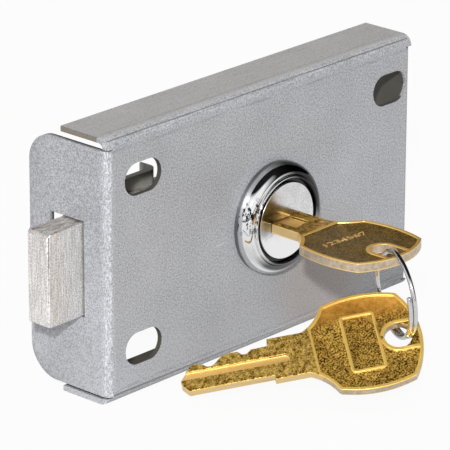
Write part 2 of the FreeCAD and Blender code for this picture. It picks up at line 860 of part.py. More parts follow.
def make_wide_recess():
    """Milled step along the cut edge of the blade, running out slantwise in the shank."""
    beyond_edge = blade_above + 1
    corners = [
        (-blade_length - 1, recess_far_side),
        (recess_far_end, recess_far_side, recess_corner_radius),
        (recess_near_end, recess_near_side, recess_corner_radius),
        (0, recess_near_side),
        (0, beyond_edge),
        (-blade_length - 1, beyond_edge),
    ]
    recess = prism(rounded_wire(corners, on_key), Vector(0, 0, key_thickness))
    recess.translate(Vector(0, 0, recess_depth - key_thickness - key_thickness / 2))
    return recess


def make_key():
    """Key in its own frame: cut blade, grooved faces, rimmed bow and ring hole."""
    key = make_key_blank()
    hole = Part.makeCylinder(key_hole_radius, 2 * key_thickness,
                             Vector(key_hole_at, 0, -key_thickness))
    key = key.cut(hole)
    field = make_bow_field().extrude(Vector(0, 0, key_thickness)).cut(make_hole_ridge())
    framed_field = field.cut(make_name_frame())
    floor = key_thickness / 2 - key_relief
    upper = framed_field.copy()
    upper.translate(Vector(0, 0, floor))
    lower = field.copy()
    lower.translate(Vector(0, 0, -floor - key_thickness))
    key = key.cut(upper).cut(lower)
    for channel in (make_narrow_groove(), make_wide_recess()):
        key = key.cut(channel)
    return key


def placed_key(along, across, hole_centre):
    """Key turned to the directions of k and c, with its ring hole at a given point."""
    along = Vector(along).normalize()
    across = (across - along * across.dot(along)).normalize()
    normal = along.cross(across)
    origin = hole_centre - along * key_hole_at
    matrix = FreeCAD.Matrix(along.x, across.x, normal.x, origin.x,
                            along.y, across.y, normal.y, origin.y,
                            along.z, across.z, normal.z, origin.z,
                            0, 0, 0, 1)
    key = make_key()
    key.Placement = FreeCAD.Placement(matrix)
    return key


def lock_key_hole():
    """Centre of the ring hole of the key in the lock."""
    return Vector(cylinder_x, key_shoulder - key_hole_at, keyway_z)


def ring_frame():
    """Centre of the split ring and its three directions: hang, sideways and normal."""
    normal = Vector(ring_normal).normalize()
    hang = (ring_hang - normal * ring_hang.dot(normal)).normalize()
    side = normal.cross(hang)
    centre = lock_key_hole() + hang * (ring_radius + ring_out_of_hole) - normal * ring_beside_hole
    return centre, hang, side, normal


def three_point_arc(start, tangent, end):
    """Arc from start along tangent to end, as (edge, end tangent)."""
    chord = end - start
    tangent = Vector(tangent).normalize()
    mirror = Vector(chord).normalize()
    end_tangent = mirror * (2 * tangent.dot(mirror)) - tangent
    half_turn = tangent.getAngle(mirror) / 2
    bulge = (tangent - mirror * tangent.dot(mirror)).normalize()
    middle = (start + end) * 0.5 + bulge * (chord.Length / 2 * math.tan(half_turn))
    return Part.Arc(start, middle, end).toShape(), end_tangent


def biarc_edges(start, start_tangent, end, end_tangent):
    """Two tangent arcs in space that join two points with given directions."""
    span = end - start
    both = start_tangent + end_tangent
    a = 2 * (1 - start_tangent.dot(end_tangent))
    b = 2 * span.dot(both)
    c = -span.dot(span)
    reach = (-b + math.sqrt(b * b - 4 * a * c)) / (2 * a)
    joint = (start + start_tangent * reach + end - end_tangent * reach) * 0.5
    first, middle_tangent = three_point_arc(start, start_tangent, joint)
    second = three_point_arc(joint, middle_tangent, end)[0]
    return [first, second]


def make_split_ring():
    """Wire ring of one and a half turns, one unbroken tube from end to end."""
    centre, hang, side, normal = ring_frame()

    def at(angle, level):
        turn = math.radians(angle)
        return centre + (hang * math.cos(turn) + side * math.sin(turn)) * ring_radius + normal * level

    def heading(angle):
        turn = math.radians(angle)
        return side * math.cos(turn) - hang * math.sin(turn)

    def flat_run(begin, end, level):
        count = math.ceil((end - begin) / ring_arc_turn)
        turn = (end - begin) / count
        arcs = []
        for index in range(count):
            angles = [begin + turn * (index + part) for part in (0.0, 0.5, 1.0)]
            arcs.append(Part.Arc(*[at(angle, level) for angle in angles]).toShape())
        return arcs

    step_end = ring_step_angle + ring_step_turn
    edges = flat_run(ring_start_angle, ring_step_angle, -ring_level)
    edges += biarc_edges(at(ring_step_angle, -ring_level), heading(ring_step_angle),
                         at(step_end, ring_level), heading(step_end))
    edges += flat_run(step_end, ring_end_angle, ring_level)
    spine = Part.Wire(edges)
    section = Part.Wire(Part.Circle(edges[0].Vertexes[0].Point,
                                    heading(ring_start_angle), wire_radius).toShape())
    sweep = Part.BRepOffsetAPI.MakePipeShell(spine)
    sweep.add(section)
    sweep.build()
    sweep.makeSolid()
    report_gap(edges)
    return sweep.shape()


def report_gap(edges):
    """Prints the wire's least gap to itself, measured on points along it."""
    points = []
    for edge in edges:
        points += edge.discretize(max(2, int(edge.Length / wire_radius)))
    lengths = [0.0]
    for index in range(1, len(points)):
        lengths.append(lengths[-1] + points[index].distanceToPoint(points[index - 1]))
    apart = 6 * wire_radius
    least = min(points[i].distanceToPoint(points[j])
                for i in range(len(points)) for j in range(i + 1, len(points))
                if lengths[j] - lengths[i] > apart)
    print("split ring: least gap to itself %.2f mm" % (least - 2 * wire_radius))


def make_spare_key():
    """Spare key, with the ring running through its hole."""
    return placed_key(spare_along, spare_across, ring_frame()[0] + spare_hole_from_ring)


def main():
    bolt_clip_front = slide_back + thin_gap
    tail_clip_front = slide_tail_rear + thin_gap
    bolt_clip = make_stud_clip(bolt_stud_x, bolt_clip_front)
    tail_clip = make_stud_clip(tail_stud_x, tail_clip_front)
    nodes = {
        "case_pan": make_case_pan(),
        "trim_ring": make_trim_ring(),
        "cylinder_barrel": make_cylinder_barrel(),
        "nut_washer": make_nut_washer(),
        "barrel_nut": make_barrel_nut(),
        "bolt_stud": make_stud(bolt_stud_x, bolt_front - thin_gap, bolt_clip_front),
        "tail_stud": make_stud(tail_stud_x, slide_tail_front - thin_gap, tail_clip_front),
        "stud_clips": Part.makeCompound([bolt_clip, tail_clip]),
        "plug": make_plug(),
        "face_cap": make_face_cap(),
        "wafer_springs": make_wafer_springs(),
        "stop_washer": make_stop_washer(),
        "cam": make_cam(),
        "cam_pin": make_cam_pin(),
        "cam_clip": make_cam_clip(),
        "bolt_block": make_bolt_block(),
        "slide_plate": make_slide_plate(),
        "bolt_rivets": make_bolt_rivets(),
        "key_in_lock": placed_key(Vector(0, -1, 0), Vector(-1, 0, 0), lock_key_hole()),
        "split_ring": make_split_ring(),
        "spare_key": make_spare_key(),
    }
    for index in range(wafer_count):
        nodes["wafer_%d" % (index + 1)] = make_wafer(index)
    os.makedirs("parts", exist_ok=True)
    for name, shape in nodes.items():
        box = shape.BoundBox
        print("%-16s valid %s solids %d volume %.1f  x %.2f %.2f  y %.2f %.2f  z %.2f %.2f" % (
            name, shape.isValid(), len(shape.Solids), shape.Volume,
            box.XMin, box.XMax, box.YMin, box.YMax, box.ZMin, box.ZMax))
        shape.exportStep(os.path.join("parts", name + ".step"))


main()
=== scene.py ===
# Looks of a locker lock: a folded zinc-plated case with a thrown dead bolt, a chromed
# cylinder, a brass key in the keyway and its spare hanging from it on a split ring.
import math

import bmesh
import bpy
import numpy as np
from mathutils import Matrix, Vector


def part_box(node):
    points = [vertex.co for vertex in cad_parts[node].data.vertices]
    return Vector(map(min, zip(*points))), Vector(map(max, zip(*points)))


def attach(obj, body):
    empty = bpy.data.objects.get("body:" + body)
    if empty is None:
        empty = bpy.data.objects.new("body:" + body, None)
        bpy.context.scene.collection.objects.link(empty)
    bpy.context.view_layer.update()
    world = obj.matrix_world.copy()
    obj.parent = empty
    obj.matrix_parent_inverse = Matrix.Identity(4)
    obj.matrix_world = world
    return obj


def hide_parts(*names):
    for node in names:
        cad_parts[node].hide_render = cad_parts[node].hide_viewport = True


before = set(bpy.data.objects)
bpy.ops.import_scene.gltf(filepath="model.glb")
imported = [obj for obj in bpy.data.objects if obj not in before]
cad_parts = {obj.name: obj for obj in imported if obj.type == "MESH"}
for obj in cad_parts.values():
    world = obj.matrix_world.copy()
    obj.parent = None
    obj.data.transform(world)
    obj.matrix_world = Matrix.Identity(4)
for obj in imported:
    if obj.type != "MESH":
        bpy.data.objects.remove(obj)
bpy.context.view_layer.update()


# Stage
# A white table that runs on behind the lock, the room and the lamp round it, and the
# camera. The lock stands on its lower flange, so the table is at the case's lowest level.
TABLE_HALF_WIDTH = 2.5
TABLE_WHITE = (0.50, 0.50, 0.50)
TABLE_ROUGHNESS = 0.9
TABLE_SHINE = 0.1
TABLE_GAP = 0.0001
TABLE_GLOW_SEEN = 0.94
TABLE_GLOW_MIRRORED = 0.6
ROOM_FILL_LOW = (0.22, 0.22, 0.23)
ROOM_FILL_HIGH = (1.10, 1.08, 1.05)
ROOM_DARK = (0.01, 0.01, 0.01)
ROOM_BRIGHT = (0.95, 0.95, 0.97)
WINDOW_SIDE = (-0.866, -0.5)
WINDOW_TURN = (-0.05, 0.35)
WINDOW_BOTTOM = (0.0, 0.08)
WINDOW_TOP = (0.80, 0.68)
LAMP_PLACE = (-1.36, -1.12, 0.96)
LAMP_SIZE = 0.09
LAMP_POWER = 37.0
CAMERA_PLACE = (-0.63497, -0.56838, 0.31623)
CAMERA_AZIMUTH = math.radians(-47.475)
CAMERA_ELEVATION = math.radians(20.521)
CAMERA_ROLL = math.radians(0.227)
CAMERA_NEAR = 0.01
CAMERA_FAR = 20.0
SENSOR_WIDTH = 36.0
FOCAL_PIXELS = 3934.0
PICTURE_PIXELS = 450.0


class Level:
    """One output of a shader node. Arithmetic on it adds the Math nodes that work it out."""

    def __init__(self, tree, socket):
        self.tree = tree
        self.socket = socket

    def node(self, kind, settings, inputs, output=0):
        """Adds a node: its settings first, then each input's value or link."""
        made = self.tree.nodes.new(kind)
        for name, setting in settings.items():
            setattr(made, name, setting)
        for name, given in inputs.items():
            if isinstance(given, Level):
                self.tree.links.new(given.socket, made.inputs[name])
            else:
                made.inputs[name].default_value = given
        return Level(self.tree, made.outputs[output])

    def math(self, operation, *others):
        """Adds a Math node with this level as its first term."""
        terms = dict(enumerate((self,) + others))
        return self.node("ShaderNodeMath", {"operation": operation}, terms)

    def __add__(self, other):
        return self.math("ADD", other)

    def __mul__(self, other):
        return self.math("MULTIPLY", other)

    def __sub__(self, other):
        return self.math("SUBTRACT", other)

    def __rsub__(self, other):
        return (self * -1.0).math("ADD", other)

    __radd__ = __add__
    __rmul__ = __mul__

    def between(self, low, high):
        """0 at low, 1 at high, a straight run between them and level beyond."""
        return self.node("ShaderNodeMapRange", {"clamp": True},
                         {"Value": self, "From Min": low, "From Max": high})

    def line(self, centre, width):
        """1 where this level is at centre, falling to 0 a width away on either side."""
        return 1.0 - (self - centre).math("ABSOLUTE").between(0.0, width)

    def tint(self, dark, light):
        """Colour that runs from dark to light as this level runs from 0 to 1."""
        ends = [end if isinstance(end, Level) else (*end, 1.0) for end in (dark, light)]
        return self.node("ShaderNodeMix", {"data_type": "RGBA"},
                         {0: self, 6: ends[0], 7: ends[1]}, output=2)

    def axes(self):
        """The x, y and z of this place or direction."""
        return [self.node("ShaderNodeSeparateXYZ", {}, {0: self}, output=axis)
                for axis in range(3)]

    def along(self, direction):
        """This place or direction measured along a fixed direction."""
        return self.node("ShaderNodeVectorMath", {"operation": "DOT_PRODUCT"},
                         {0: self, 1: tuple(direction)}, output=1)

    def away_from(self, point):
        """Distance of this place from a fixed point."""
        return self.node("ShaderNodeVectorMath", {"operation": "DISTANCE"},
                         {0: self, 1: point}, output=1)

    def facing(self, direction):
        """How far the surface at this place faces a fixed direction, from -1 to 1."""
        return Level(self.tree, self.socket.node.outputs["Normal"]).along(direction)

    def stretched(self, x, y, z):
        """This place with each axis multiplied, so that a pattern on it is drawn out."""
        return self.node("ShaderNodeVectorMath", {"operation": "MULTIPLY"},
                         {0: self, 1: (x, y, z)})

    def noise(self, scale, detail, roughness):
        """Cloudy pattern, read at this place, with features one over scale metres wide."""
        return self.node("ShaderNodeTexNoise", {}, {
            "Vector": self, "Scale": scale, "Detail": detail, "Roughness": roughness})

    def relief(self, strength, depth):
        """Surface direction roughened by this level as a height of the given depth."""
        return self.node("ShaderNodeBump", {},
                         {"Height": self, "Strength": strength, "Distance": depth})

    def feed(self, shader, name):
        """Links this level to an input of a shader."""
        self.tree.links.new(self.socket, shader.inputs[name])


def white_table():
    """Flat square under the lock: x = w u, y = w v for u and v from -1 to 1."""
    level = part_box("case_pan")[0][2] - TABLE_GAP
    side = TABLE_HALF_WIDTH * np.array([[-1, -1], [1, -1], [1, 1], [-1, 1]])
    corners = np.column_stack([side, np.full(4, level)])
    mesh = bpy.data.meshes.new("table")
    mesh.from_pydata(corners.tolist(), [], [(0, 1, 2, 3)])
    table = bpy.data.objects.new("table", mesh)
    bpy.context.collection.objects.link(table)
    material = bpy.data.materials.new("table_white")
    material.use_nodes = True
    tree = material.node_tree
    shader = tree.nodes["Principled BSDF"]
    shader.inputs["Base Color"].default_value = (*TABLE_WHITE, 1.0)
    shader.inputs["Roughness"].default_value = TABLE_ROUGHNESS
    shader.inputs["Specular IOR Level"].default_value = TABLE_SHINE
    glow = tree.nodes.new("ShaderNodeEmission")
    ray = tree.nodes.new("ShaderNodeLightPath")
    seen = Level(tree, ray.outputs["Is Camera Ray"])
    mirrored = Level(tree, ray.outputs["Is Glossy Ray"])
    mixed = tree.nodes.new("ShaderNodeMixShader")
    share = seen * TABLE_GLOW_SEEN + mirrored * TABLE_GLOW_MIRRORED
    tree.links.new(share.socket, mixed.inputs[0])
    tree.links.new(shader.outputs[0], mixed.inputs[1])
    tree.links.new(glow.outputs[0], mixed.inputs[2])
    tree.links.new(mixed.outputs[0], tree.nodes["Material Output"].inputs["Surface"])
    mesh.materials.append(material)


def studio_room():
    """World colour by direction: mirrors see a bright low band on the window side only."""
    world = bpy.data.worlds.new("studio")
    world.use_nodes = True
    bpy.context.scene.world = world
    tree = world.node_tree
    direction = Level(tree, tree.nodes.new("ShaderNodeTexCoord").outputs["Generated"])
    x, y, z = direction.axes()
    towards = (x * WINDOW_SIDE[0] + y * WINDOW_SIDE[1]).between(*WINDOW_TURN)
    band = z.between(*WINDOW_BOTTOM) * z.between(*WINDOW_TOP)
    shade = (towards * band).tint(ROOM_DARK, ROOM_BRIGHT)
    shiny = Level(tree, tree.nodes.new("ShaderNodeLightPath").outputs["Is Glossy Ray"])
    fill = z.between(0.0, 1.0).tint(ROOM_FILL_LOW, ROOM_FILL_HIGH)
    shiny.tint(fill, shade).feed(tree.nodes["Background"], "Color")


def turned_to(right, up, back, place):
    """Matrix of a lamp or camera from its three directions and its place."""
    turn = Matrix.Identity(4)
    for column, direction in enumerate((right, up, back, place)):
        for row in range(3):
            turn[row][column] = direction[row]
    return turn


def level_right(back):
    """Level direction to the right of something that looks away from back."""
    right = np.cross((0.0, 0.0, 1.0), back)
    return right / np.linalg.norm(right)


def lamp(name, place, size, power):
    """Square soft lamp at place, turned towards the lock."""
    light = bpy.data.lights.new(name, "AREA")
    light.size = size
    light.energy = power
    holder = bpy.data.objects.new(name, light)
    bpy.context.collection.objects.link(holder)
    back = np.array(place) / np.linalg.norm(place)
    right = level_right(back)
    holder.matrix_world = turned_to(right, np.cross(back, right), back, place)


def photo_camera():
    """Long-lens camera: its directions come from azimuth, elevation and roll."""
    level = math.cos(CAMERA_ELEVATION)
    back = np.array([math.sin(CAMERA_AZIMUTH) * level, -math.cos(CAMERA_AZIMUTH) * level,
                     math.sin(CAMERA_ELEVATION)])
    right = level_right(back)
    up = np.cross(back, right)
    rolled_right = math.cos(CAMERA_ROLL) * right + math.sin(CAMERA_ROLL) * up
    rolled_up = math.cos(CAMERA_ROLL) * up - math.sin(CAMERA_ROLL) * right
    data = bpy.data.cameras.new("camera")
    data.sensor_fit = "HORIZONTAL"
    data.sensor_width = SENSOR_WIDTH
    data.lens = FOCAL_PIXELS / PICTURE_PIXELS * SENSOR_WIDTH
    data.clip_start = CAMERA_NEAR
    data.clip_end = CAMERA_FAR
    camera = bpy.data.objects.new("camera", data)
    bpy.context.collection.objects.link(camera)
    camera.matrix_world = turned_to(rolled_right, rolled_up, back, CAMERA_PLACE)
    bpy.context.scene.camera = camera


white_table()
studio_room()
lamp("front_lamp", LAMP_PLACE, LAMP_SIZE, LAMP_POWER)
photo_camera()
bpy.context.scene.view_settings.view_transform = "Standard"


# Folded case
# One zinc-plated sheet, 1.3 mm thick, punched and folded on four sides. The plating is
# matt and faintly speckled, with soft cloudy stains and a few scratches from handling.
ZINC_METALLIC = 0.25
ZINC_DARK = (0.248, 0.254, 0.270)
ZINC_LIGHT = (0.536, 0.549, 0.580)
# Colour of the scratches, and also of the painted highlight streaks along the bends.
ZINC_SCRATCH_AND_SHEEN = (0.86, 0.89, 0.93)
ZINC_WARM = (0.50, 0.485, 0.455)
ZINC_DOT = (0.08, 0.08, 0.085)
# The next two colours are a near-black painted shade for the slot walls and the inside of the
# case.
ZINC_INSIDE_SHADE = (0.05, 0.048, 0.05)
ZINC_INSIDE_SHADE_LIGHT = (0.14, 0.13, 0.10)
ZINC_CUT = (0.16, 0.13, 0.09)
# Painted brownish shadow of the key on the front plate: its colour, middle and reach.
ZINC_KEY_SHADOW = (0.37, 0.310, 0.268)
KEY_SHADOW_PLACE = (0.0180, 0.0, -0.0210)
KEY_SHADOW_REACH = (0.0200, 0.0080)
INSIDE_DEPTH = (0.0006, 0.0008)
INSIDE_FROM_FLANGE = (0.0030, 0.0034)
INSIDE_FROM_FACE = (0.00003, 0.0001)
LEFT_SKIN = (0.0004, 0.0)
LEFT_BOUNCE = (0.0, -0.028)
FRONT_BOUNCE = (0.010, -0.030)
UPRIGHT_BEND = (0.0026, 0.0012)
LEVEL_BEND = (0.0024, 0.0014)
CREASE_PLACE = 0.0033
CREASE_WIDTH = 0.0005
UPPER_HALF = (0.0, 0.001)
TOP_SKIN = (0.0003, 0.0)
CUT_FACING = (0.8, 0.95)
CUT_THICKNESS = (0.0016, 0.0014)
CUT_START = (0.0028, 0.0034)
LINE_SHADE = 0.52
LINE_WIDTH = 0.0012
SHARP_ANGLE = math.radians(28.0)
FLAT_ANGLE = math.radians(0.5)
MERGE_DISTANCE = 1e-6
EDGE_STEPS = 2


def softened(node, material, body, width=0.0, whole_faces=False):
    """Merged copy of a CAD node, its sharp edges rounded if a width is given."""
    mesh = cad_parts[node].data.copy()
    mesh.name = node + "_soft"
    grid = bmesh.new()
    grid.from_mesh(mesh)
    bmesh.ops.remove_doubles(grid, verts=grid.verts, dist=MERGE_DISTANCE)
    if whole_faces:
        bmesh.ops.dissolve_limit(grid, angle_limit=FLAT_ANGLE, verts=grid.verts, edges=grid.edges)
    grid.to_mesh(mesh)
    grid.free()
    mesh.materials.clear()
    mesh.materials.append(material)
    mesh.polygons.foreach_set("material_index", np.zeros(len(mesh.polygons), int))
    mesh.polygons.foreach_set("use_smooth", np.ones(len(mesh.polygons), bool))
    piece = bpy.data.objects.new(node + "_soft", mesh)
    bpy.context.collection.objects.link(piece)
    mesh.set_sharp_from_angle(angle=SHARP_ANGLE)
    if width:
        bevel = piece.modifiers.new("edge", "BEVEL")
        bevel.width = width
        bevel.segments = EDGE_STEPS
        bevel.limit_method = "ANGLE"
        bevel.angle_limit = SHARP_ANGLE
        bevel.use_clamp_overlap = False
        bevel.loop_slide = False
        bevel.harden_normals = True
    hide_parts(node)
    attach(piece, body)


def new_finish(name, metallic):
    """Material with a plain metal shader; gives it, its shader and the place on the piece."""
    material = bpy.data.materials.new(name)
    material.use_nodes = True
    tree = material.node_tree
    shader = tree.nodes["Principled BSDF"]
    shader.inputs["Metallic"].default_value = metallic
    place = Level(tree, tree.nodes.new("ShaderNodeTexCoord").outputs["Object"])
    return material, shader, place


def zinc_plating():
    """Grey plating: clouds under a fine speckle with dark dots and thin scratches, and broken
    bright streaks along the bends that are partly rub wear, partly a painted highlight. A
    painted shade darkens the level folds, and the slot walls and the inside of the case are
    painted near black as shade. The lower parts are painted lighter, as if lit by the table,
    and a brownish painted shadow lies under the key."""
    material, shader, place = new_finish("zinc_plating", ZINC_METALLIC)
    x, y, z = place.axes()
    low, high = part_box("case_pan")
    from_left, from_right = x - low[0], high[0] - x
    from_level = high[2] - z.math("ABSOLUTE")
    from_flange = from_left.math("MINIMUM", from_right).math("MINIMUM", from_level)
    depth = y.math("MINIMUM", from_flange).between(*INSIDE_DEPTH)
    behind = from_flange.between(*INSIDE_FROM_FLANGE) * y.between(*INSIDE_FROM_FACE)
    inside = (depth + behind).between(0.0, 1.0)
    upper = z.between(*UPPER_HALF)

    cloud = place.noise(60.0, detail=3.0, roughness=0.6)
    speckle = place.noise(2400.0, detail=3.0, roughness=0.7)
    fine = place.noise(5200.0, detail=1.0, roughness=0.5)
    left_bounce = from_left.between(*LEFT_SKIN) * z.between(*LEFT_BOUNCE)
    bounce = left_bounce * 0.12 + z.between(*FRONT_BOUNCE) * 0.16
    shade = (cloud * 0.5 + speckle * 3.4 + fine * 1.8 + bounce - 2.35).between(0.0, 1.0)
    # Painted shadow of the key's bow on the front plate, tinted brownish as if by light off the
    # brass.
    key_shadow = place.away_from(KEY_SHADOW_PLACE).between(*KEY_SHADOW_REACH)
    plated = (key_shadow * 0.5).tint(shade.tint(ZINC_DARK, ZINC_LIGHT), ZINC_KEY_SHADOW)

    brush = place.stretched(0.04, 1.0, 1.0).noise(2600.0, detail=1.0, roughness=0.5)
    top = from_level.between(*TOP_SKIN) * upper
    warm = (top * brush).tint(plated, ZINC_WARM)

    bands = place.stretched(1.0, 1.0, 0.25).noise(55.0, detail=0.0, roughness=0.5)
    broken = place.noise(160.0, detail=1.0, roughness=0.5).between(0.52, 0.60)
    scratch = bands.line(LINE_SHADE, LINE_WIDTH) * broken * 0.6
    # Painted highlight, partly rub wear: broken bright streaks along the left upright bend and the
    # level bends.
    upright = place.stretched(1.0, 1.0, 0.35).noise(2800.0, detail=3.0, roughness=0.7)
    upright_bend_sheen = (from_left + y).between(*UPRIGHT_BEND) * upright.between(0.48, 0.70) * 0.75
    level_bend_sheen = (from_level + y).between(*LEVEL_BEND) * brush.between(0.50, 0.70) * 0.25
    rubbed = (scratch + upright_bend_sheen + level_bend_sheen).between(0.0, 1.0).tint(warm, ZINC_SCRATCH_AND_SHEEN)

    dots = place.noise(3100.0, detail=1.0, roughness=0.5).between(0.66, 0.72)
    # Painted shade along the level folds, added to the dark dots.
    folded = (from_level + y).line(CREASE_PLACE, CREASE_WIDTH)
    fold_shade = folded * brush.between(0.42, 0.60) * 0.35
    dark = (dots * 0.6 + fold_shade).between(0.0, 1.0)
    dotted_and_fold_shaded = (dark * (1.0 - inside)).tint(rubbed, ZINC_DOT)
    # Painted shade: the slot walls and the inside of the case are coloured near black.
    inside_shaded = inside.tint(dotted_and_fold_shaded, cloud.tint(ZINC_INSIDE_SHADE, ZINC_INSIDE_SHADE_LIGHT))

    cut_end = place.facing((-1.0, 0.0, 0.0)).between(*CUT_FACING)
    cut = cut_end * from_level.between(*CUT_THICKNESS) * upper * y.between(*CUT_START)
    (cut * 0.8).tint(inside_shaded, ZINC_CUT).feed(shader, "Base Color")
    (cloud * 0.10 + fine * 0.10 + 0.40 - scratch * 0.15).feed(shader, "Roughness")
    (speckle + fine * 0.6).relief(0.35, depth=0.00004).feed(shader, "Normal")
    return material


softened("case_pan", zinc_plating(), "case")


# Guide studs
# Two turned steel studs welded behind the front plate, each with a clip in its groove.
# They hold the slide and let it run along the case.
STUD_DARK = (0.34, 0.33, 0.31)
STUD_LIGHT = (0.56, 0.55, 0.53)
CLIP_DARK = (0.10, 0.10, 0.105)
CLIP_LIGHT = (0.22, 0.22, 0.23)


def plain_metal(name, dark, light, roughness, metallic=1.0):
    """Machined metal: slow clouds and a fine grain between two shades of one colour."""
    material, shader, place = new_finish(name, metallic)
    cloud = place.noise(220.0, detail=3.0, roughness=0.6)
    grain = place.noise(2600.0, detail=2.0, roughness=0.6)
    shade = (cloud * 0.7 + grain * 0.9 - 0.3).between(0.0, 1.0)
    shade.tint(dark, light).feed(shader, "Base Color")
    (cloud * 0.12 + grain * 0.12 + (roughness - 0.12)).feed(shader, "Roughness")
    grain.relief(0.2, depth=0.00004).feed(shader, "Normal")
    return material


def dress(material, *nodes):
    """Gives CAD nodes a material in every slot."""
    for node in nodes:
        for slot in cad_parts[node].material_slots:
            slot.material = material


dress(plain_metal("stud_steel", STUD_DARK, STUD_LIGHT, roughness=0.34), "bolt_stud", "tail_stud")
dress(plain_metal("clip_steel", CLIP_DARK, CLIP_LIGHT, roughness=0.38), "stud_clips")


# Cylinder
# Die-cast barrel through the front plate, plated dull, held from behind by a toothed
# washer and a hexagonal nut. It is coloured near black as a painted shade, so that its rim
# shows as a dark gap inside the chromed trim ring.
BARREL_SHADE_DARK = (0.02, 0.02, 0.022)
BARREL_SHADE_LIGHT = (0.07, 0.07, 0.075)
NUT_DARK = (0.42, 0.41, 0.38)
NUT_LIGHT = (0.66, 0.65, 0.60)

# Painted shade: the barrel is coloured near black so that its rim reads as a dark gap.
barrel_nickel = plain_metal("barrel_nickel", BARREL_SHADE_DARK, BARREL_SHADE_LIGHT, roughness=0.25)
dress(barrel_nickel, "cylinder_barrel")
nut_steel = plain_metal("nut_steel", NUT_DARK, NUT_LIGHT, roughness=0.32)
dress(nut_steel, "barrel_nut", "nut_washer")


# Trim ring
# Pressed brass ring, chromed and polished: a short dull skirt, a domed crown, a narrow
# valley and a thin lip round the barrel. The nut behind pulls it against the plate.
AXIS_X = 0.0013
AXIS_Z = -0.0008
RING_OUTSIDE = 0.0134
RING_INSIDE = 0.0094
SKIRT_TOP = 0.0010
CROWN_RADIUS = 0.01095
CROWN_TOP = 0.0040
VALLEY_RADIUS = 0.01075
VALLEY_TOP = 0.0039
LIP_INSIDE = 0.01007
LIP_SHOULDER = 0.0042
LIP_TOP = 0.00455
RING_FOOT = 0.0008
RING_STEPS_ROUND = 192
CROWN_STEPS = 24
LIP_STEPS = 14
CHROME_DARK = (0.78, 0.79, 0.80)
CHROME_LIGHT = (0.93, 0.93, 0.94)
# Near black for the painted dark reflections on the chrome.
CHROME_DARK_REFLECTION = (0.02, 0.02, 0.02)
DARK_REFLECTION_MOST = 0.95
# Skirt colours: a painted reflection of the grey plate.
SKIRT_REFLECTION_LIGHT = (0.34, 0.345, 0.35)
SKIRT_REFLECTION_DARK = (0.14, 0.14, 0.145)
SKIRT_BORDER = (SKIRT_TOP + 0.0003, SKIRT_TOP - 0.0002)
# Where the painted dark reflections lie: upper right, patches on the left, an arc below.
REFLECTION_WAY = (0.8, 0.0, 0.6)
REFLECTION_REACH = (0.0040, 0.0095)
REFLECTED_PATCH_FROM_AXIS = (AXIS_X - 0.0075, AXIS_X - 0.0088)
REFLECTED_PATCH_LEVEL = AXIS_Z + 0.0035
REFLECTED_PATCH_HEIGHT = 0.0050
REFLECTED_ARC_BELOW_AXIS = (0.0060, 0.0095)
REFLECTED_ARC_RADIUS = (0.0125, 0.0118)


def crown_curve(count):
    """Quarter of an ellipse from the skirt's top to the crown's top, as (radius, height)."""
    turn = np.linspace(0.0, math.pi / 2, count)
    radius = CROWN_RADIUS + (RING_OUTSIDE - CROWN_RADIUS) * np.cos(turn)
    height = SKIRT_TOP + (CROWN_TOP - SKIRT_TOP) * np.sin(turn)
    return np.column_stack([radius, height])


def lip_curve(count):
    """Half of an ellipse over the lip, from the valley's wall to the barrel's side."""
    turn = np.linspace(0.0, math.pi, count)
    middle = (VALLEY_RADIUS + LIP_INSIDE) / 2
    radius = middle + (VALLEY_RADIUS - LIP_INSIDE) / 2 * np.cos(turn)
    height = LIP_SHOULDER + (LIP_TOP - LIP_SHOULDER) * np.sin(turn)
    return np.column_stack([radius, height])


def mesh_piece(name, points, faces, material, body):
    """Smooth piece from an array of points and a list of the corners of each face."""
    mesh = bpy.data.meshes.new(name)
    mesh.from_pydata(points.tolist(), [], faces)
    mesh.polygons.foreach_set("use_smooth", np.ones(len(mesh.polygons), bool))
    mesh.materials.append(material)
    mesh.update()
    piece = bpy.data.objects.new(name, mesh)
    bpy.context.collection.objects.link(piece)
    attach(piece, body)
    return piece


def tube_faces(across, along, shut_along):
    """Four-cornered faces of a grid that is closed across, and along as well if asked."""
    runs = along if shut_along else along - 1
    u, v = np.meshgrid(np.arange(across), np.arange(runs), indexing="ij")
    next_u = (u + 1) % across
    next_v = (v + 1) % along
    corners = [u * along + v, u * along + next_v, next_u * along + next_v, next_u * along + v]
    return np.stack([corner.ravel() for corner in corners], axis=1).tolist()


def turned_ring(profile):
    """Closed profile turned about the cylinder axis: x = r cos t, z = r sin t, y = -height."""
    turn = np.linspace(0.0, 2 * math.pi, RING_STEPS_ROUND, endpoint=False)
    radius, height = profile[:, 0:1], profile[:, 1:2]
    x = AXIS_X + radius * np.cos(turn)
    z = AXIS_Z + radius * np.sin(turn)
    y = np.broadcast_to(-height, x.shape)
    return np.stack([x, y, z], axis=-1).reshape(-1, 3)


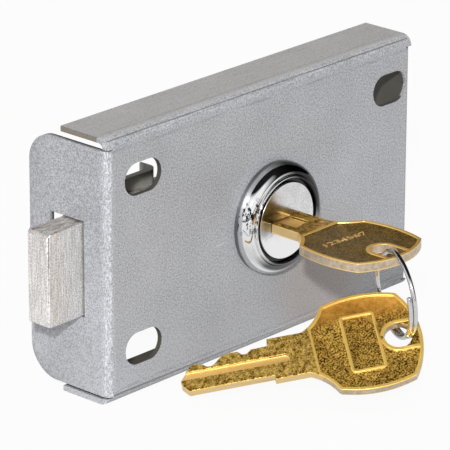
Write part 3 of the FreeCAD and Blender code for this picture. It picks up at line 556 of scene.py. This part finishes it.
def chrome_plating():
    """Mirror chrome with slight waves. The skirt is rougher, and its dull grey is a painted
    reflection of the plate. Painted dark reflections blacken it to the upper right, in jagged
    patches on the left and in an arc below."""
    material, shader, place = new_finish("chrome_plating", 1.0)
    across, depth, up = place.axes()
    skirt = (depth * -1.0).between(*SKIRT_BORDER)
    cloud = place.noise(500.0, detail=3.0, roughness=0.6)
    wave = place.noise(420.0, detail=1.0, roughness=0.5)
    # Painted dark reflections: the upper right, jagged patches on the left and an arc below are
    # coloured near black.
    upper_right_reflection = place.along(REFLECTION_WAY).between(*REFLECTION_REACH) * 0.93
    jagged = place.stretched(1.0, 1.0, 0.5).noise(900.0, detail=4.0, roughness=0.7)
    on_left = across.between(*REFLECTED_PATCH_FROM_AXIS)
    at_height = up.line(REFLECTED_PATCH_LEVEL, REFLECTED_PATCH_HEIGHT).between(0.1, 0.5)
    patches = jagged.between(0.52, 0.54) * on_left * at_height * 0.95
    radius = place.stretched(1.0, 0.0, 1.0).away_from((AXIS_X, 0.0, AXIS_Z))
    below = (AXIS_Z - up).between(*REFLECTED_ARC_BELOW_AXIS) * radius.between(*REFLECTED_ARC_RADIUS) * 0.80
    dark = (upper_right_reflection + below + patches).between(0.0, DARK_REFLECTION_MOST)
    bright = dark.tint(cloud.tint(CHROME_DARK, CHROME_LIGHT), CHROME_DARK_REFLECTION)
    # The skirt is rougher, and its dull grey is a painted reflection of the plate.
    skirt.tint(bright, cloud.tint(SKIRT_REFLECTION_DARK, SKIRT_REFLECTION_LIGHT)).feed(shader, "Base Color")
    (skirt * 0.28 + cloud * 0.05 + 0.03).feed(shader, "Roughness")
    wave.relief(0.35, depth=0.00006).feed(shader, "Normal")
    return material


ring_profile = np.vstack([
    [[RING_OUTSIDE, 0.0]],
    crown_curve(CROWN_STEPS),
    [[VALLEY_RADIUS, VALLEY_TOP]],
    lip_curve(LIP_STEPS),
    [[LIP_INSIDE, RING_FOOT], [RING_INSIDE, RING_FOOT], [RING_INSIDE, 0.0]],
])
trim = mesh_piece("trim_ring_polished", turned_ring(ring_profile),
                  tube_faces(len(ring_profile), RING_STEPS_ROUND, True),
                  chrome_plating(), "case")
trim.data.set_sharp_from_angle(angle=SHARP_ANGLE)
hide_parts("trim_ring")


# Plug
# Brass plug that turns in the barrel, with five brass wafers on small springs. A thin
# stainless cap, pressed over its head and pierced for the key, is the face one sees.
PLUG_DARK = (0.50, 0.36, 0.14)
PLUG_LIGHT = (0.74, 0.57, 0.27)
SPRING_DARK = (0.45, 0.44, 0.42)
SPRING_LIGHT = (0.66, 0.65, 0.63)
CAP_EDGE = 0.00022
CAP_DARK = (0.50, 0.50, 0.505)
CAP_LIGHT = (0.97, 0.97, 0.975)
# Painted reflection of the table: the lower part of the cap face is lighter.
CAP_LIT_BELOW = (-0.001, 0.006)
CAP_DARK_PATCH = (0.10, 0.095, 0.10)
DARK_PATCH_PLACE = (-0.0050, -0.0040, 0.0008)
DARK_PATCH_REACH = (0.0062, 0.0028)
DARK_PATCH_RAGGED = 0.003


def cap_steel():
    """Bright satin steel with faint clouds, painted lighter below as a reflection of the
    table, and a dark patch at the upper left.
    """
    material, shader, place = new_finish("cap_steel", 1.0)
    cloud = place.noise(260.0, detail=3.0, roughness=0.6)
    grain = place.noise(3000.0, detail=2.0, roughness=0.6)
    up = place.axes()[2]
    # Painted reflection: the face is lighter below, where it mirrors the table.
    lit_below = (AXIS_Z - up).between(*CAP_LIT_BELOW) * 0.7
    shade = (cloud * 0.8 + grain * 1.3 + lit_below - 0.55).between(0.0, 1.0)
    # A dark patch at the upper left of the face.
    dark_patch = (place.away_from(DARK_PATCH_PLACE) + cloud * DARK_PATCH_RAGGED).between(*DARK_PATCH_REACH)
    (dark_patch * 0.8).tint(shade.tint(CAP_DARK, CAP_LIGHT), CAP_DARK_PATCH).feed(shader, "Base Color")
    (cloud * 0.10 + grain * 0.06 + 0.08).feed(shader, "Roughness")
    grain.relief(0.15, depth=0.00003).feed(shader, "Normal")
    return material


plug_brass = plain_metal("plug_brass", PLUG_DARK, PLUG_LIGHT, roughness=0.34)
dress(plug_brass, "plug", "wafer_1", "wafer_2", "wafer_3", "wafer_4", "wafer_5")
dress(plain_metal("spring_steel", SPRING_DARK, SPRING_LIGHT, roughness=0.25), "wafer_springs")
softened("face_cap", cap_steel(), "plug", width=CAP_EDGE, whole_faces=True)


# Cam
# A stop washer and a cam on the plug's square tail, held by a clip. The cam's pin
# stands in the slide's slot and drives the bolt in and out.
CAM_DARK = (0.34, 0.33, 0.30)
CAM_LIGHT = (0.58, 0.56, 0.50)
CAM_CLIP_DARK = (0.10, 0.10, 0.105)
CAM_CLIP_LIGHT = (0.24, 0.24, 0.25)

cam_steel = plain_metal("cam_steel", CAM_DARK, CAM_LIGHT, roughness=0.36)
dress(cam_steel, "stop_washer", "cam", "cam_pin")
dress(plain_metal("cam_clip_steel", CAM_CLIP_DARK, CAM_CLIP_LIGHT, roughness=0.36), "cam_clip")


# Bolt and slide
# A rectangular steel bolt, riveted by four rivets to a flat slide. The bolt is brushed
# on its faces, speckled on its cut end, and stained brown in streaks on top.
BOLT_METALLIC = 0.7
BOLT_EDGE = 0.00022
BOLT_DARK = (0.48, 0.455, 0.44)
BOLT_LIGHT = (0.95, 0.93, 0.915)
BOLT_STREAK = (0.30, 0.235, 0.17)
BOLT_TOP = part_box("bolt_block")[1][2]
BOLT_TOP_SKIN = (BOLT_TOP - 0.0003, BOLT_TOP - 0.0001)
SLIDE_DARK = (0.26, 0.255, 0.235)
SLIDE_LIGHT = (0.50, 0.49, 0.45)
RIVET_DARK = (0.40, 0.39, 0.37)
RIVET_LIGHT = (0.62, 0.61, 0.59)


def bolt_steel():
    """Brushed pale steel: upright strokes, small dark specks and brown streaks on the top."""
    material, shader, place = new_finish("bolt_steel", BOLT_METALLIC)
    height = place.axes()[2]
    brush = place.stretched(1.0, 1.0, 0.06).noise(3000.0, detail=2.0, roughness=0.6)
    speck = place.noise(2600.0, detail=2.0, roughness=0.7)
    shade = (brush * 2.2 + speck * 3.2 - 2.2).between(0.0, 1.0).tint(BOLT_DARK, BOLT_LIGHT)
    stains = place.stretched(0.35, 1.0, 1.0).noise(900.0, detail=3.0, roughness=0.6)
    streak = stains.between(0.42, 0.62) * height.between(*BOLT_TOP_SKIN)
    (streak * 0.8).tint(shade, BOLT_STREAK).feed(shader, "Base Color")
    (speck * 0.15 + 0.38).feed(shader, "Roughness")
    (brush * 0.7 + speck * 0.6).relief(0.4, depth=0.00005).feed(shader, "Normal")
    return material


softened("bolt_block", bolt_steel(), "bolt", width=BOLT_EDGE, whole_faces=True)
slide_steel = plain_metal("slide_steel", SLIDE_DARK, SLIDE_LIGHT, roughness=0.45, metallic=0.3)
softened("slide_plate", slide_steel, "bolt")
dress(plain_metal("rivet_steel", RIVET_DARK, RIVET_LIGHT, roughness=0.32), "bolt_rivets")


# Keys
# Two keys stamped from brass plate, 2.3 mm thick, their bows sunk inside a raised rim
# and roughened like sand. A row of plain digits stands on the bow of the key in the lock.
KEY_METALLIC = 0.65
KEY_SHINE = 0.15
KEY_EDGE = 0.00014
KEY_FIELD_LEVEL = 0.0008
KEY_RAISED = (KEY_FIELD_LEVEL + 0.00003, KEY_FIELD_LEVEL + 0.00009)
KEY_SUNK = (KEY_FIELD_LEVEL - 0.00010, KEY_FIELD_LEVEL - 0.00018)
KEY_EDGE_HIGHLIGHT_BAND = (0.00085, 0.00095)
KEY_SIDE_FACING = (0.6, 0.25)
KEY_BOW_START = -0.0190
KEY_BOW_BORDER = (KEY_BOW_START, KEY_BOW_START + 0.0003)
KEY_BRINK_PLACE = KEY_BOW_START - 0.0002
KEY_BRINK_WIDTH = 0.0005
KEY_REFLECTION_REACH = (0.0050, 0.0085)
KEY_RECESS_START = (-0.0297, -0.0294)
KEY_RECESS_END = (-0.0232, -0.0234)
KEY_RECESS_SIDE = (0.0042, 0.0040)
KEY_GROOVE = (0.84, 0.54, 0.18)
# Colour of the painted highlight along the top edge of the cut sides.
KEY_EDGE_HIGHLIGHT = (1.0, 0.70, 0.24)
# Colours of the painted orange reflection on the upper part of the bow.
KEY_REFLECTION_DARK = (0.40, 0.17, 0.015)
KEY_REFLECTION_LIGHT = (0.92, 0.49, 0.10)
KEY_SIDE_DARK = (0.42, 0.33, 0.22)
KEY_SIDE_LIGHT = (0.66, 0.56, 0.44)
KEY_NECK_SIDE = (0.80, 0.58, 0.28)
NUMBER = "1234567"
NUMBER_PLACE = (-0.0059, -0.02275, -0.00055)
NUMBER_END = (0.0070, -0.02405)
NUMBER_HEIGHT = 0.0017
NUMBER_RELIEF = 0.00014
DIGIT_SHARE = 0.7


def key_brass(name, centre, normal, blade_way, pit_and_recess_shade, grain_light, worn, rim, glow):
    """Brass by its height over the plate's middle: bright smooth rims and raised marks, a
    field roughened like sand with dark pits, golden grooves and paler cut sides. The walls
    of the recess in the shank take the dark of the pits as a painted shade, and the top edge
    of each cut side gets a painted highlight. With glow the upper part of the bow gets a
    painted orange reflection."""
    material, shader, place = new_finish(name, KEY_METALLIC)
    shader.inputs["Specular IOR Level"].default_value = KEY_SHINE
    through = np.array(normal) / np.linalg.norm(normal)
    sideways = np.cross(through, blade_way)
    over = place.along(through) - float(np.dot(centre, through))
    way = place.along(blade_way) - float(np.dot(centre, blade_way))
    from_middle = place.along(sideways) - float(np.dot(centre, sideways))
    height = over.math("ABSOLUTE")
    side = place.facing(through).math("ABSOLUTE").between(*KEY_SIDE_FACING)
    raised = height.between(*KEY_RAISED)
    bow = way.between(*KEY_BOW_BORDER)

    cloud = place.noise(200.0, detail=3.0, roughness=0.6)
    grain = place.noise(2800.0, detail=2.0, roughness=0.6)
    wear = place.noise(900.0, detail=3.0, roughness=0.6)
    field = (cloud * 0.7 + grain * 3.4 + wear * 0.9 - 2.1).between(0.0, 1.0).tint(pit_and_recess_shade, grain_light)
    # Painted reflection: a smooth orange on the upper part of the bow, as much as glow asks.
    orange = (cloud + wear - 0.5).between(0.0, 1.0).tint(KEY_REFLECTION_DARK, KEY_REFLECTION_LIGHT)
    field_with_reflection = (from_middle.between(*KEY_REFLECTION_REACH) * bow * glow).tint(field, orange)
    brink = way.line(KEY_BRINK_PLACE, KEY_BRINK_WIDTH) * 1.5
    rubbed = (wear * 2.6 + grain * 2.4 - 2.05 + bow * 1.2 + brink).between(0.0, 1.0)
    flat = height.between(*KEY_SUNK).tint(field_with_reflection, KEY_GROOVE)
    faces = raised.tint(flat, rubbed.tint(worn, rim))

    cut_side = wear.between(0.3, 0.7).tint(KEY_SIDE_DARK, KEY_SIDE_LIGHT)
    # Painted shade: the walls of the recess in the shank take the dark of the pits.
    across_recess = from_middle.math("ABSOLUTE").between(*KEY_RECESS_SIDE)
    recess = across_recess * way.between(*KEY_RECESS_START) * way.between(*KEY_RECESS_END)
    sides = recess.tint(bow.tint(KEY_NECK_SIDE, cut_side), pit_and_recess_shade)
    # Painted highlight: a bright line along the top edge of each cut side.
    corner = side * height.between(*KEY_EDGE_HIGHLIGHT_BAND)
    corner.tint(side.tint(faces, sides), KEY_EDGE_HIGHLIGHT).feed(shader, "Base Color")
    smooth = (side + raised).between(0.0, 1.0)
    (cloud * 0.10 + 0.27 + (1.0 - smooth) * 0.10).feed(shader, "Roughness")
    (grain * (1.0 - smooth * 0.8)).relief(0.7, depth=0.00009).feed(shader, "Normal")
    return material


def raised_number(material):
    """Plain digits as a thin solid on the bow, run along the line between its two ends."""
    curve = bpy.data.curves.new("key_number", "FONT")
    curve.body = NUMBER
    curve.size = NUMBER_HEIGHT / DIGIT_SHARE
    curve.extrude = NUMBER_RELIEF
    writing = bpy.data.objects.new("key_number_text", curve)
    bpy.context.collection.objects.link(writing)
    mesh = bpy.data.meshes.new_from_object(writing)
    bpy.data.objects.remove(writing)
    points = np.empty(len(mesh.vertices) * 3, np.float32)
    mesh.vertices.foreach_get("co", points)
    points = points.reshape(-1, 3)
    run = np.array([NUMBER_END[0] - NUMBER_PLACE[0], NUMBER_END[1] - NUMBER_PLACE[1], 0.0])
    length = np.linalg.norm(run)
    along = run / length
    up = np.cross((0.0, 0.0, 1.0), along)
    start = points[:, 0].min()
    width = points[:, 0].max() - start
    placed = (NUMBER_PLACE + np.outer((points[:, 0] - start) * length / width, along)
              + np.outer(points[:, 1], up))
    placed[:, 2] += points[:, 2]
    mesh.vertices.foreach_set("co", placed.astype(np.float32).ravel())
    mesh.materials.append(material)
    mesh.update()
    piece = bpy.data.objects.new("key_number", mesh)
    bpy.context.collection.objects.link(piece)
    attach(piece, "key")


# Painted shade: the lock key is the same brass as the spare, coloured darker.
lock_key_brass_shaded = key_brass(
    "lock_key_brass_shaded", centre=(0.0013, -0.03355, -0.00135), normal=(0.0, 0.0, 1.0),
    blade_way=(0.0, -1.0, 0.0), pit_and_recess_shade=(0.08, 0.045, 0.006), grain_light=(0.36, 0.22, 0.045),
    worn=(0.15, 0.075, 0.010), rim=(0.80, 0.48, 0.11), glow=0.0)
# Painted sheen: the spare is the same brass as the lock key, coloured brighter and with more
# contrast.
spare_key_brass_lit = key_brass(
    "spare_key_brass_lit", centre=(-0.004185, -0.042869, -0.017585),
    normal=(-0.4553, -0.3696, 0.8100), blade_way=(0.7670, -0.6250, 0.1460),
    pit_and_recess_shade=(0.035, 0.015, 0.001), grain_light=(0.86, 0.52, 0.10),
    worn=(0.18, 0.080, 0.006), rim=(1.0, 0.68, 0.17), glow=0.85)
softened("key_in_lock", lock_key_brass_shaded, "key", width=KEY_EDGE)
softened("spare_key", spare_key_brass_lit, "spare_key", width=KEY_EDGE)
raised_number(lock_key_brass_shaded)


# Split ring
# One and a half turns of bright spring wire pressed flat together, with a sideways step
# halfway. It hangs in the lock key's hole and carries the spare.
RING_CENTRE = np.array([-0.002745, -0.040789, -0.008045])
RING_NORMAL = np.array([0.882, -0.461, 0.100])
RING_HANG = np.array([-0.306, -0.721, -0.622])
RING_RADIUS = 0.00992
WIRE_RADIUS = 0.00055
WIRE_LEVEL = 0.00057
WIRE_START = math.radians(-56.0)
WIRE_STEP_FROM = math.radians(150.0)
WIRE_STEP_TO = math.radians(200.0)
WIRE_END = math.radians(470.0)
WIRE_TIP = 0.00030
WIRE_TIP_FLAT = 0.02
WIRE_ALONG = 720
WIRE_ACROSS = 20
WIRE_DARK = (0.50, 0.50, 0.50)
WIRE_LIGHT = (0.84, 0.84, 0.84)


def wound_wire(along_count, across_count):
    """Round wire on a turn and a half of a circle: its level goes over smoothly from one
    turn to the next, and its radius shrinks over the last tenths of a millimetre."""
    normal = RING_NORMAL / np.linalg.norm(RING_NORMAL)
    hang = RING_HANG - normal * (RING_HANG @ normal)
    hang = hang / np.linalg.norm(hang)
    side = np.cross(normal, hang)
    turn = np.linspace(WIRE_START, WIRE_END, along_count)
    passed = np.clip((turn - WIRE_STEP_FROM) / (WIRE_STEP_TO - WIRE_STEP_FROM), 0.0, 1.0)
    level = WIRE_LEVEL * (2 * passed * passed * (3 - 2 * passed) - 1)
    outward = np.outer(np.cos(turn), hang) + np.outer(np.sin(turn), side)
    middle = RING_CENTRE + RING_RADIUS * outward + np.outer(level, normal)
    from_end = RING_RADIUS * np.minimum(turn - WIRE_START, WIRE_END - turn)
    rest = 1 - np.clip(from_end / WIRE_TIP, 0.0, 1.0)
    thick = WIRE_RADIUS * np.sqrt(np.clip(1 - rest * rest, WIRE_TIP_FLAT, 1.0))
    round_wire = np.linspace(0.0, 2 * math.pi, across_count, endpoint=False)
    out_part = thick * np.cos(round_wire)[:, None]
    up_part = thick * np.sin(round_wire)[:, None]
    points = middle + out_part[..., None] * outward + up_part[..., None] * normal
    return points.reshape(-1, 3)


def wire_faces(along_count, across_count):
    """Faces round the wire, with one flat face to close each of its ends."""
    start = (np.arange(across_count) * along_count).tolist()
    end = (np.arange(across_count, 0, -1) * along_count - 1).tolist()
    return tube_faces(across_count, along_count, False) + [start, end]


def ring_steel():
    """Bright drawn wire with faint marks along it."""
    material, shader, place = new_finish("ring_steel", 1.0)
    cloud = place.noise(400.0, detail=3.0, roughness=0.6)
    mark = place.noise(2400.0, detail=2.0, roughness=0.6)
    shade = (cloud * 0.6 + mark * 0.6 - 0.1).between(0.0, 1.0)
    shade.tint(WIRE_DARK, WIRE_LIGHT).feed(shader, "Base Color")
    (mark * 0.10 + 0.06).feed(shader, "Roughness")
    mark.relief(0.15, depth=0.00003).feed(shader, "Normal")
    return material


wire = mesh_piece("split_ring_wire", wound_wire(WIRE_ALONG, WIRE_ACROSS),
                  wire_faces(WIRE_ALONG, WIRE_ACROSS), ring_steel(), "ring")
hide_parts("split_ring")
